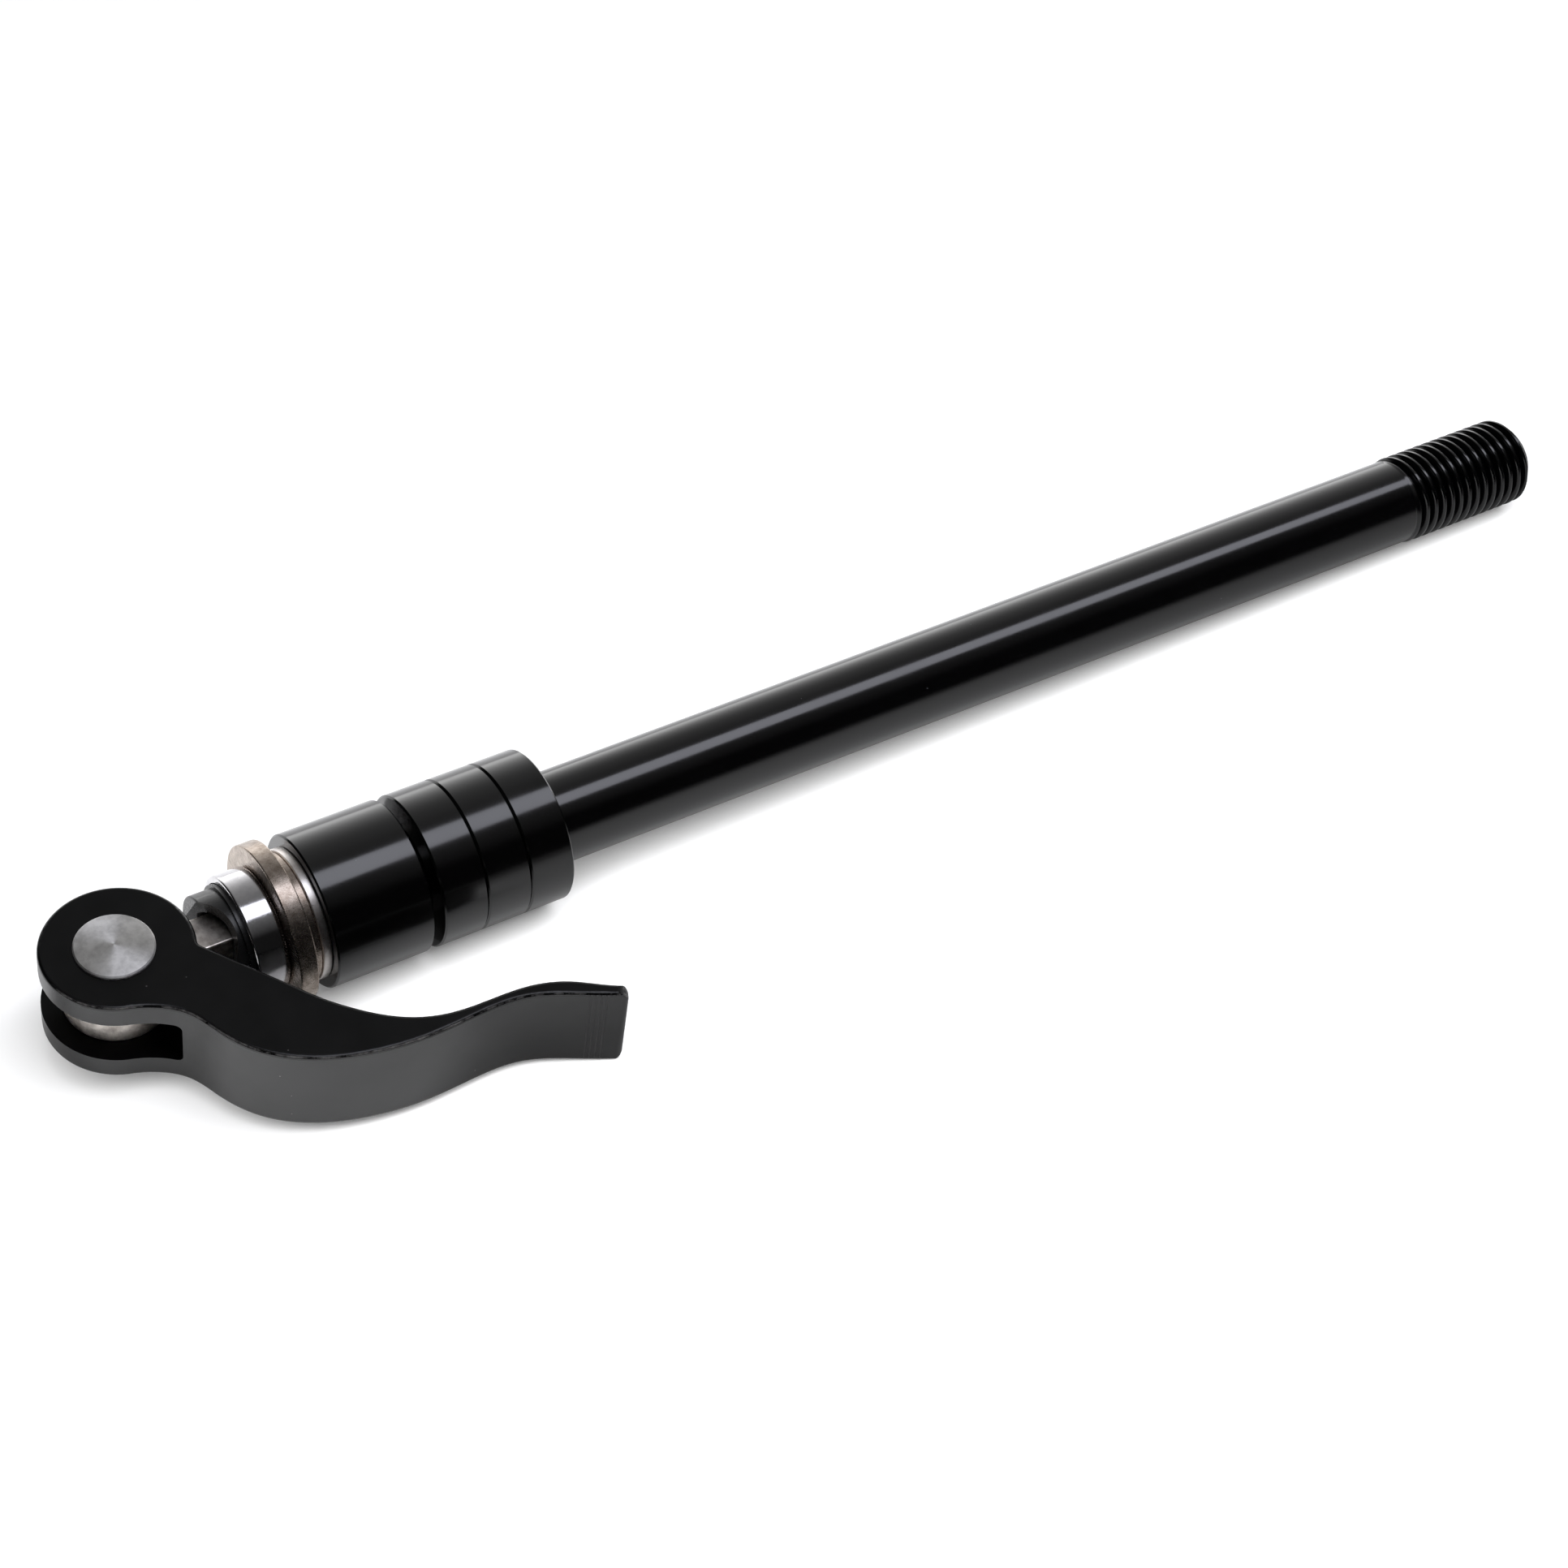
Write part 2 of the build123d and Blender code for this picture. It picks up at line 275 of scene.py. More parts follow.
    def bump(self, height: Socket, distance: float, strength: float = 1.0) -> Socket:
        """Turns a height into a shading normal.

        Args:
            height: The height, from 0 to 1.
            distance: What a height of 1 stands for, in metres.
            strength: The share of it that shows.

        Returns:
            The normal.
        """
        inputs = {"Height": height, "Distance": distance, "Strength": strength}
        return self.add("ShaderNodeBump", inputs=inputs).outputs["Normal"]

    def surface(self, **inputs: object) -> bpy.types.Material:
        """Ends the material in one Principled shader.

        Args:
            inputs: The shader's inputs, with _ for each space of a name.

        Returns:
            The finished material.
        """
        named = {key.replace("_", " "): value for key, value in inputs.items()}
        shader = self.add("ShaderNodeBsdfPrincipled", inputs=named)
        self.add("ShaderNodeOutputMaterial", inputs={"Surface": shader.outputs["BSDF"]})
        return self.material


@dataclass(frozen=True)
class BlackAnodising:
    """Glossy black anodised aluminium with faint turning lines, a little dust and painted shade in the thread's roots.
    """

    name: str = "black_anodised"
    colour: Colour = (0.0012, 0.0012, 0.0015)
    dust: Colour = (0.09, 0.09, 0.1)
    roughness: float = 0.15
    ior: float = 1.7
    shine: float = 0.5
    thread_start: float = 1.0
    crest_r: float = 0.0059
    root_r: float = 0.0055
    root_shine: float = 0.05

    def material(self) -> bpy.types.Material:
        """Returns the finish as a material."""
        graph = Graph(self.name)
        place = graph.point()
        along, side, up = graph.axes(place)
        from_axis = graph.calc("SQRT", graph.calc("ADD", graph.calc("POWER", side, 2.0), graph.calc("POWER", up, 2.0)))
        on_thread = graph.calc("GREATER_THAN", along, self.thread_start)
        # painted shade: on the thread, reflections fade down to root_shine below crest_r, so the roots look dark
        painted_root_shade = graph.calc("MULTIPLY", on_thread, graph.spread(from_axis, self.crest_r, self.root_r, 0.0, 1.0))
        cloud = graph.noise(place, 160.0, 3.0)
        dust = graph.specks(place, 900.0, 0.09, 0.03)
        lines = graph.lines(along, 5200.0)
        return graph.surface(
            Base_Color=graph.tint(dust, self.colour, self.dust),
            Roughness=graph.spread(cloud, 0.3, 0.7, self.roughness - 0.02, self.roughness + 0.02),
            IOR=self.ior,
            Specular_IOR_Level=graph.spread(painted_root_shade, 0.0, 1.0, self.shine, self.root_shine),
            Normal=graph.bump(lines, 0.6e-6),
        )


@dataclass(frozen=True)
class SatinBlack:
    """Satin black coating of the lever, with pale specks, a fine grain, a painted highlight along its front edges and
    grip lines.
    """

    name: str = "satin_black"
    colour: Colour = (0.003, 0.003, 0.0032)
    speck: Colour = (0.12, 0.115, 0.11)
    edge_highlight: Colour = (0.3, 0.29, 0.28)
    top_shine: float = 0.2
    side_shine: float = 0.5
    roughness: float = 0.34
    edge_roughness: float = 0.2
    ior: float = 1.52
    grip_angle: float = -27.0
    grip_start: float = 0.0046
    grip_step: float = 0.00062
    grip_count: int = 4
    grip_depth: float = 8.0e-5

    def material(self) -> bpy.types.Material:
        """Returns the finish as a material."""
        graph = Graph(self.name)
        place = graph.point()
        grain = graph.noise(place, 4200.0, 2.0)
        cloud = graph.noise(place, 220.0, 3.0)
        specks = graph.specks(place, 900.0, 0.11, 0.03)
        side, up = graph.axes(graph.facing())[1:]
        lean = graph.calc("ABSOLUTE", up)
        on_edge = graph.calc("MULTIPLY", graph.spread(lean, 0.1, 0.3, 0.0, 1.0), graph.spread(lean, 0.99, 0.94, 0.0, 1.0))
        crest = graph.calc("MULTIPLY", graph.spread(lean, 0.5, 0.65, 0.0, 1.0), graph.spread(lean, 0.9, 0.8, 0.0, 1.0))
        # painted highlight: a pale colour on a band of the edge fillets, only where they face -Y, broken into patches
        front = graph.spread(side, -0.05, -0.3, 0.0, 1.0)
        patches = graph.spread(graph.noise(place, 380.0, 5.0, 0.7), 0.42, 0.7, 0.0, 1.0)
        edge_highlight_mask = graph.calc("MULTIPLY", graph.calc("MULTIPLY", crest, front), patches)
        coat = graph.tint(specks, self.colour, self.speck)
        satin = graph.spread(cloud, 0.3, 0.7, self.roughness - 0.05, self.roughness + 0.05)
        matt = graph.calc("MULTIPLY", satin, graph.calc("SUBTRACT", 1.0, on_edge))
        height = graph.calc("SUBTRACT", graph.calc("MULTIPLY", grain, 2.0e-6), self.grip_lines(graph, place, lean))
        return graph.surface(
            Base_Color=graph.tint(edge_highlight_mask, coat, self.edge_highlight),
            Roughness=graph.calc("MULTIPLY_ADD", on_edge, self.edge_roughness, matt),
            IOR=self.ior,
            Specular_IOR_Level=graph.spread(lean, 0.9, 0.99, self.side_shine, self.top_shine),
            Normal=graph.bump(height, 1.0),
        )

    def grip_lines(self, graph: Graph, place: Socket, lean: Socket) -> Socket:
        """Cuts the fine grooves across the lever's outer face near its tip.

        Args:
            graph: The material.
            place: The place on the lever.
            lean: How far the surface faces up or down.

        Returns:
            The grooves' depth, in metres.
        """
        x, y = graph.axes(place)[:2]
        turn = math.radians(self.grip_angle)
        along = graph.calc(
            "ADD", graph.calc("MULTIPLY", x, math.cos(turn)), graph.calc("MULTIPLY", y, math.sin(turn))
        )
        count = graph.calc("DIVIDE", graph.calc("SUBTRACT", along, self.grip_start), self.grip_step)
        inside = graph.calc(
            "MULTIPLY", graph.calc("GREATER_THAN", count, 0.0), graph.calc("LESS_THAN", count, float(self.grip_count))
        )
        off_line = graph.calc("ABSOLUTE", graph.calc("SUBTRACT", graph.calc("FRACT", count), 0.5))
        groove = graph.calc("MULTIPLY", graph.spread(off_line, 0.25, 0.05, 0.0, self.grip_depth), inside)
        return graph.calc("MULTIPLY", groove, graph.calc("LESS_THAN", lean, 0.5))


@dataclass(frozen=True)
class TurnedSteel:
    """Turned steel with lines round the axle, scratches along it and patchy tarnish."""

    name: str
    colour: Colour
    tarnish: Colour
    roughness: float
    line_depth: float
    scratch_depth: float
    scratch_tint: float

    @classmethod
    def polished(cls) -> "TurnedSteel":
        """Returns the cup ring's bright polish."""
        return cls("polished_steel", (0.73, 0.72, 0.73), (0.62, 0.61, 0.63), 0.13, 0.2, 0.1, 0.0)

    @classmethod
    def warm(cls) -> "TurnedSteel":
        """Returns the flange's brownish brushed steel."""
        return cls("warm_steel", (0.56, 0.485, 0.425), (0.27, 0.215, 0.175), 0.28, 0.8, 5.0, 0.5)

    @classmethod
    def bright(cls) -> "TurnedSteel":
        """Returns the thin washer's bright steel."""
        return cls("bright_steel", (0.86, 0.83, 0.81), (0.66, 0.61, 0.58), 0.33, 0.4, 1.5, 0.2)

    def material(self) -> bpy.types.Material:
        """Returns the finish as a material."""
        graph = Graph(self.name)
        place = graph.point()
        along, side, up = graph.axes(place)
        turn = graph.calc("ARCTAN2", up, side)
        cloud = graph.noise(place, 620.0, 6.0, 0.75)
        lines = graph.lines(along, 6000.0)
        strokes = graph.noise(graph.vector(turn, graph.calc("MULTIPLY", along, 60.0), 0.0), 55.0, 3.0, 0.6)
        height = graph.calc(
            "ADD",
            graph.calc("MULTIPLY", lines, self.line_depth),
            graph.calc("MULTIPLY", strokes, self.scratch_depth),
        )
        colour = graph.tint(graph.spread(cloud, 0.35, 0.65, 0.0, 1.0), self.colour, self.tarnish)
        scratched = graph.spread(strokes, 0.52, 0.72, 0.0, self.scratch_tint)
        return graph.surface(
            Base_Color=graph.tint(scratched, colour, self.tarnish),
            Metallic=1.0,
            Roughness=graph.spread(strokes, 0.3, 0.7, self.roughness * 0.8, self.roughness * 1.2),
            Normal=graph.bump(height, 1.0e-6),
        )


@dataclass(frozen=True)
class PinSteel:
    """Satin steel of the pivot pin, with faint rings round its axis and a mottled face."""

    centre: Vector
    name: str = "pin_steel"
    colour: Colour = (0.84, 0.83, 0.82)
    mottle: Colour = (0.6, 0.59, 0.58)
    roughness: float = 0.46
    stretch: float = 0.8
    across_rings: float = 0.25

    def material(self) -> bpy.types.Material:
        """Returns the finish as a material."""
        graph = Graph(self.name)
        place = graph.mapped(graph.point(), self.centre, WHITE)
        flat = graph.mapped(place, Vector((0.0, 0.0, 0.0)), (1.0, 1.0, 0.0))
        from_axis = graph.add("ShaderNodeVectorMath", {"operation": "LENGTH"}, {0: flat}).outputs["Value"]
        rings = graph.lines(from_axis, 3200.0)
        cloud = graph.noise(place, 700.0, 4.0, 0.6)
        return graph.surface(
            Base_Color=graph.tint(graph.spread(cloud, 0.35, 0.65, 0.0, 1.0), self.colour, self.mottle),
            Metallic=1.0,
            Roughness=graph.spread(cloud, 0.3, 0.7, self.roughness - 0.05, self.roughness + 0.05),
            Anisotropic=self.stretch,
            Anisotropic_Rotation=self.across_rings,
            Tangent=graph.add("ShaderNodeTangent", {"direction_type": "RADIAL", "axis": "Z"}).outputs["Tangent"],
            Normal=graph.bump(rings, 3.0e-6),
        )


@dataclass(frozen=True)
class ForgedSteel:
    """Warm, slightly uneven steel of the eye bolt."""

    name: str = "bolt_steel"
    colour: Colour = (0.96, 0.9, 0.84)
    mottle: Colour = (0.5, 0.45, 0.41)
    roughness: float = 0.42

    def material(self) -> bpy.types.Material:
        """Returns the finish as a material."""
        graph = Graph(self.name)
        place = graph.point()
        cloud = graph.noise(place, 700.0, 4.0, 0.6)
        grain = graph.noise(place, 3000.0, 3.0)
        return graph.surface(
            Base_Color=graph.tint(graph.spread(cloud, 0.35, 0.65, 0.0, 1.0), self.colour, self.mottle),
            Metallic=1.0,
            Roughness=graph.spread(grain, 0.3, 0.7, self.roughness - 0.06, self.roughness + 0.06),
            Normal=graph.bump(grain, 6.0e-6),
        )


@dataclass(frozen=True)
class MouldedNylon:
    """Black moulded nylon of the saddle, with fine flow streaks."""

    name: str = "black_nylon"
    colour: Colour = (0.012, 0.012, 0.012)
    roughness: float = 0.3
    ior: float = 1.53

    def material(self) -> bpy.types.Material:
        """Returns the finish as a material."""
        graph = Graph(self.name)
        place = graph.point()
        streaks = graph.noise(graph.mapped(place, Vector((0.0, 0.0, 0.0)), (0.2, 1.0, 1.0)), 2600.0, 3.0)
        return graph.surface(
            Base_Color=self.colour,
            Roughness=graph.spread(streaks, 0.3, 0.7, self.roughness - 0.06, self.roughness + 0.06),
            IOR=self.ior,
            Normal=graph.bump(streaks, 4.0e-6),
        )


def deselect_all() -> None:
    """Deselects every object, since an operator acts on all that is selected."""
    bpy.ops.object.select_all(action="DESELECT")


def clear_startup_objects() -> None:
    """Removes what Blender puts in an unsaved scene by itself."""
    keep = set(frame["nodes"].values()) | set(frame["bodies"].values())
    for thing in list(bpy.data.objects):
        if thing not in keep:
            bpy.data.objects.remove(thing)


def dress(thing: bpy.types.Object, material: bpy.types.Material) -> None:
    """Gives a piece one material.

    Args:
        thing: The piece or CAD node.
        material: Its finish.
    """
    thing.data.materials.clear()
    thing.data.materials.append(material)


def turn_profile(
    name: str, stations: Sequence[tuple[float, float]], segments: int, closed: bool
) -> bpy.types.Object:
    """Turns a profile about the X axis, ring by ring from a circle.

    Args:
        name: The piece's name.
        stations: Place along the axis and radius of each ring, in order along the surface.
        segments: Corners of each ring.
        closed: Whether the profile closes on itself round a bore, or ends in a disc at both ends.

    Returns:
        The closed piece.
    """
    deselect_all()
    at, radius = stations[0]
    bpy.ops.mesh.primitive_circle_add(
        vertices=segments,
        radius=radius * MM,
        fill_type="NOTHING" if closed else "NGON",
        location=(at * MM, 0.0, 0.0),
        rotation=(0.0, math.pi / 2, 0.0),
    )
    piece = bpy.context.object
    piece.name = name
    piece.data.name = name
    bpy.ops.object.transform_apply(location=True, rotation=True, scale=True)
    bpy.ops.object.mode_set(mode="EDIT")
    bpy.ops.mesh.select_all(action="SELECT")
    for next_at, next_radius in [*stations[1:], *stations[: 1 if closed else 0]]:
        step = ((next_at - at) * MM, 0.0, 0.0)
        bpy.ops.mesh.extrude_region_move(TRANSFORM_OT_translate={"value": step})
        ratio = next_radius / radius
        bpy.ops.transform.resize(value=(1.0, ratio, ratio), center_override=(next_at * MM, 0.0, 0.0))
        at, radius = next_at, next_radius
    bpy.ops.mesh.select_all(action="SELECT")
    if closed:
        bpy.ops.mesh.remove_doubles(threshold=1.0e-6)
    bpy.ops.mesh.normals_make_consistent(inside=False)
    bpy.ops.object.mode_set(mode="OBJECT")
    return piece


def soften(corners: Sequence[tuple[float, float, float]], steps: int = 5) -> list[tuple[float, float]]:
    """Rounds the square corners of a closed profile.

    Args:
        corners: Place along the axis, radius and rounding of each corner.
        steps: Chords in each rounding.

    Returns:
        The stations of the rounded profile.
    """
    beside = 0.03
    stations = []
    for index, (at, radius, bend) in enumerate(corners):
        corner = Vector((at, radius))
        if bend == 0.0:
            stations.append((at, radius))
            continue
        before = Vector(corners[index - 1][:2]) - corner
        after = Vector(corners[(index + 1) % len(corners)][:2]) - corner
        before.normalize()
        after.normalize()
        centre = corner + (before + after) * bend
        stations.append(tuple(corner + before * (bend + beside)))
        for step in range(steps + 1):
            angle = math.pi / 2 * step / steps
            stations.append(tuple(centre - after * bend * math.cos(angle) - before * bend * math.sin(angle)))
        stations.append(tuple(corner + after * (bend + beside)))
    return stations


def set_piece(
    piece: bpy.types.Object, node: Node, body: str, material: bpy.types.Material
) -> None:
    """Smooths a new piece and puts it in a CAD node's place.

    Args:
        piece: The piece.
        node: The CAD node that it replaces.
        body: The body that carries it.
        material: Its finish.
    """
    deselect_all()
    piece.select_set(True)
    bpy.context.view_layer.objects.active = piece
    bpy.ops.object.shade_smooth_by_angle(angle=math.radians(35.0))
    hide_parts(node.value)
    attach(piece, body)
    dress(piece, material)
    LOG.info("set %s with %d faces", piece.name, len(piece.data.polygons))


@dataclass
class ThreadedAxle:
    """The turned axle with its head, shaft and cut thread, in millimetres."""

    head_r: float = 9.5
    head_length: float = 12.5
    head_chamfer: float = 0.2
    tap_r: float = 2.55
    tap_depth: float = 30.0
    shaft_r: float = 5.75
    thread_r: float = 5.975
    thread_length: float = 21.6
    thread_pitch: float = 1.5
    thread_depth: float = 0.8
    thread_fade: float = 1.3
    thread_lead: float = 0.5
    end_chamfer: float = 1.5
    hex_flats: float = 6.0
    hex_depth: float = 10.0
    hex_rim: float = 0.25
    crest_share: float = 0.2
    root_share: float = 0.84
    ease: float = 0.5
    segments: int = 96
    rings_per_turn: int = 40

    def build(self) -> bpy.types.Object:
        """Models the axle where the CAD node is.

        Returns:
            The finished piece.
        """
        low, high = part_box(Node.AXLE.value)
        face = low.x / MM
        end = high.x / MM
        seat = face + self.head_length
        start = end - self.thread_length
        end_r = self.thread_r - self.end_chamfer
        hex_r = self.hex_flats / 2
        stations = [
            (face + self.tap_depth, self.tap_r),
            (face, self.tap_r),
            (face, self.head_r - self.head_chamfer),
            (face + self.head_chamfer, self.head_r),
            (seat - self.head_chamfer, self.head_r),
            (seat, self.head_r - self.head_chamfer),
            (seat, self.shaft_r),
            (start, self.shaft_r),
            (end, end_r),
            (end, hex_r + self.hex_rim * 4),
            (end, hex_r + self.hex_rim),
            (end - self.hex_depth, hex_r + self.hex_rim),
        ]
        piece = turn_profile("axle_threaded", stations, self.segments, closed=False)
        self.ring_thread(start, end)
        self.cut_thread(piece, start, end)
        self.cut_hex(piece, end)
        set_piece(piece, Node.AXLE, "axle", BlackAnodising(thread_start=(start + self.thread_fade) * MM).material())
        return piece

    def ring_thread(self, start: float, end: float) -> None:
        """Divides the threaded length into rings fine enough to carry the thread.

        Args:
            start: Where the thread starts along the axle.
            end: Where it ends.
        """
        piece = bpy.context.object
        least_r = (self.thread_r - self.end_chamfer) * MM * 0.999
        turns = round(self.thread_length / self.thread_pitch)
        for parts in (turns, self.rings_per_turn):
            bpy.ops.object.mode_set(mode="EDIT")
            bpy.ops.mesh.select_mode(type="EDGE")
            bpy.ops.mesh.select_all(action="DESELECT")
            bpy.ops.object.mode_set(mode="OBJECT")
            for edge in piece.data.edges:
                one, two = (piece.data.vertices[index].co for index in edge.vertices)
                lengthwise = abs(one.x - two.x) > 0.01 * MM
                on_thread = min(one.x, two.x) / MM > start - 0.01
                outside = min(one.yz.length, two.yz.length) > least_r
                edge.select = lengthwise and on_thread and outside
            bpy.ops.object.mode_set(mode="EDIT")
            bpy.ops.mesh.subdivide(number_cuts=parts - 1)
            bpy.ops.mesh.select_mode(type="VERT")
            bpy.ops.object.mode_set(mode="OBJECT")

    def thread_radius(self, along: float, turn: float, start: float, end: float) -> float:
        """The cut surface's distance from the axis.

        Args:
            along: Place along the axle.
            turn: Angle about the axis, from +Y towards +Z.
            start: Where the thread starts.
            end: Where it ends.

        Returns:
            The radius there.
        """
        phase = ((along - start) / self.thread_pitch - turn / math.tau - self.thread_lead) % 1.0
        off_crest = abs(2.0 * phase - 1.0)
        flank = (off_crest - self.crest_share) / (self.root_share - self.crest_share)
        straight = min(max(flank, 0.0), 1.0)
        depth = (straight + (smooth_step(flank) - straight) * self.ease) * self.thread_depth
        growth = smooth_step((along - start) / self.thread_fade)
        radius = self.shaft_r + (self.thread_r - depth - self.shaft_r) * growth
        return min(radius, self.thread_r - self.end_chamfer + end - along)

    def cut_thread(self, piece: bpy.types.Object, start: float, end: float) -> None:
        """Moves the rings of the threaded length onto the thread's surface.

        Args:
            piece: The turned axle.
            start: Where the thread starts along the axle.
            end: Where it ends.
        """
        end_r = (self.thread_r - self.end_chamfer) * MM
        for vertex in piece.data.vertices:
            along = vertex.co.x / MM
            across = Vector((0.0, vertex.co.y, vertex.co.z))
            if along < start or across.length < end_r * 0.999:
                continue
            turn = math.atan2(vertex.co.z, vertex.co.y)
            across.length = self.thread_radius(along, turn, start, end) * MM
            vertex.co = (vertex.co.x, across.y, across.z)

    def cut_hex(self, piece: bpy.types.Object, end: float) -> None:
        """Moves the inner rings of the end onto a hexagon.

        Args:
            piece: The turned axle.
            end: Where the axle ends.
        """
        ring_r = self.hex_flats / 2 + self.hex_rim
        for vertex in piece.data.vertices:
            across = Vector((0.0, vertex.co.y, vertex.co.z))
            if vertex.co.x / MM < end - self.hex_depth - 0.01 or abs(across.length / MM - ring_r) > 0.01:
                continue
            turn = math.atan2(vertex.co.z, vertex.co.y) % (math.pi / 3)
            across.length = self.hex_flats / 2 / math.cos(turn - math.pi / 6) * MM
            vertex.co = (vertex.co.x, across.y, across.z)


def smooth_step(value: float) -> float:
    """Eases from 0 to 1 between 0 and 1.

    Args:
        value: Any number.

    Returns:
        The eased number.
    """
    held = min(max(value, 0.0), 1.0)
    return held * held * (3.0 - 2.0 * held)


@dataclass
class TurnedRings:
    """The spacers, the washers and the cup ring, in millimetres."""

    bolt_bore_r: float = 2.8
    spacer_bore_r: float = 6.05
    spacer_edge: float = 0.2
    washer_edge: float = 0.2
    boss_r: float = 7.85
    boss_length: float = 1.4
    cup_wall: float = 0.75
    cup_floor: float = 1.0
    cup_edge: float = 0.3
    cup_heel: float = 0.6
    seat_gap: float = 0.01
    segments: int = 160

    def build(self) -> None:
        """Models every ring where its CAD node is."""
        self.build_spacers()
        self.build_thin_washer()
        self.build_flanged_washer()
        self.build_cup()

    def reach(self, node: Node) -> tuple[float, float, float]:
        """Reads a ring's place.

        Args:
            node: The ring's CAD node.

        Returns:
            Its first and last place along the axle, and its radius.
        """
        low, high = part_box(node.value)
        return low.x / MM, high.x / MM, high.z / MM

    def build_spacers(self) -> None:
        """Turns the three spacers with their chamfered edges."""
        finish = BlackAnodising("spacer_black").material()
        edge = self.spacer_edge
        for node in (Node.SPACER_1, Node.SPACER_2, Node.SPACER_3):
            first, last, outer_r = self.reach(node)
            bore_r = self.spacer_bore_r
            stations = [
                (first, bore_r + edge),
                (first, outer_r - edge),
                (first + edge, outer_r),
                (last - edge, outer_r),
                (last, outer_r - edge),
                (last, bore_r + edge),
                (last - edge, bore_r),
                (first + edge, bore_r),
            ]
            piece = turn_profile(f"{node.value}_turned", stations, self.segments, closed=True)
            set_piece(piece, node, node.value, finish)

    def build_thin_washer(self) -> None:
        """Turns the thin washer against the head."""
        first, last, outer_r = self.reach(Node.THIN_WASHER)
        corners = [
            (first, self.bolt_bore_r, 0.0),
            (first, outer_r, self.washer_edge),
            (last, outer_r, self.washer_edge),
            (last, self.bolt_bore_r, 0.0),
        ]
        piece = turn_profile("thin_washer_turned", soften(corners), self.segments, closed=True)
        set_piece(piece, Node.THIN_WASHER, "axle", TurnedSteel.bright().material())

    def build_flanged_washer(self) -> None:
        """Turns the flanged washer with its boss."""
        first, last, outer_r = self.reach(Node.FLANGED_WASHER)
        step = last - self.boss_length
        corners = [
            (first, self.bolt_bore_r, 0.0),
            (first, outer_r, self.washer_edge),
            (step, outer_r, self.washer_edge),
            (step, self.boss_r, 0.0),
            (last, self.boss_r, self.washer_edge / 2),
            (last, self.bolt_bore_r, 0.0),
        ]
        piece = turn_profile("flanged_washer_turned", soften(corners), self.segments, closed=True)
        set_piece(piece, Node.FLANGED_WASHER, "axle", TurnedSteel.warm().material())

    def build_cup(self) -> None:
        """Turns the thin-walled cup ring."""
        first, last, outer_r = self.reach(Node.CUP_RING)
        floor = last - self.cup_floor
        last -= self.seat_gap
        inner_r = outer_r - self.cup_wall
        corners = [
            (last, self.bolt_bore_r, 0.0),
            (last, outer_r, self.cup_heel),
            (first, outer_r, self.cup_edge),
            (first, inner_r, 0.0),
            (floor, inner_r, 0.0),
            (floor, self.bolt_bore_r, 0.0),
        ]
        piece = turn_profile("cup_ring_turned", soften(corners), self.segments, closed=True)
        set_piece(piece, Node.CUP_RING, "saddle", TurnedSteel.polished().material())


@dataclass
class PivotPin:
    """The pin through the lever's ears with its low domed head, in millimetres."""

    pin_r: float = 2.5
    end_chamfer: float = 0.4
    head_r: float = 4.6
    head_rim: float = 0.4
    rim_round: float = 0.15
    dome: float = 0.25
    dome_steps: int = 12
    least_r: float = 0.1
    segments: int = 128

    def build(self) -> None:
        """Turns the pin and stands it on the pivot."""
        low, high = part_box(Node.PIVOT_PIN.value)
        foot = low.z / MM
        rim = high.z / MM - self.dome
        stations = [
            (foot, self.pin_r - self.end_chamfer),
            (foot + self.end_chamfer, self.pin_r),
            (rim - self.head_rim, self.pin_r),
            (rim - self.head_rim, self.head_r),
            (rim - self.rim_round, self.head_r),
        ]
        for step in range(self.dome_steps + 1):
            across = self.head_r - self.rim_round - (self.head_r - self.rim_round - self.least_r) * step / self.dome_steps
            stations.append((rim + self.dome * (1.0 - (across / self.head_r) ** 2), across))
        piece = turn_profile("pivot_pin_turned", stations, self.segments, closed=False)
        centre = (low + high) / 2
        piece.rotation_euler = (0.0, -math.pi / 2, 0.0)
        piece.location = (centre.x, centre.y, 0.0)
        bpy.ops.object.transform_apply(location=True, rotation=True, scale=True)
        set_piece(piece, Node.PIVOT_PIN, "lever", PinSteel(centre).material())


@dataclass
class Fittings:
    """The pieces that keep their CAD shapes and get a finish."""

    def dress_all(self) -> None:
        """Gives every carried-over node its finish."""
        finishes = {Node.LEVER: SatinBlack(), Node.EYE_BOLT: ForgedSteel(), Node.CAM_SADDLE: MouldedNylon()}
        for node, finish in finishes.items():
            dress(frame["nodes"][node.value], finish.material())
            LOG.info("dressed %s in %s", node.value, finish.name)


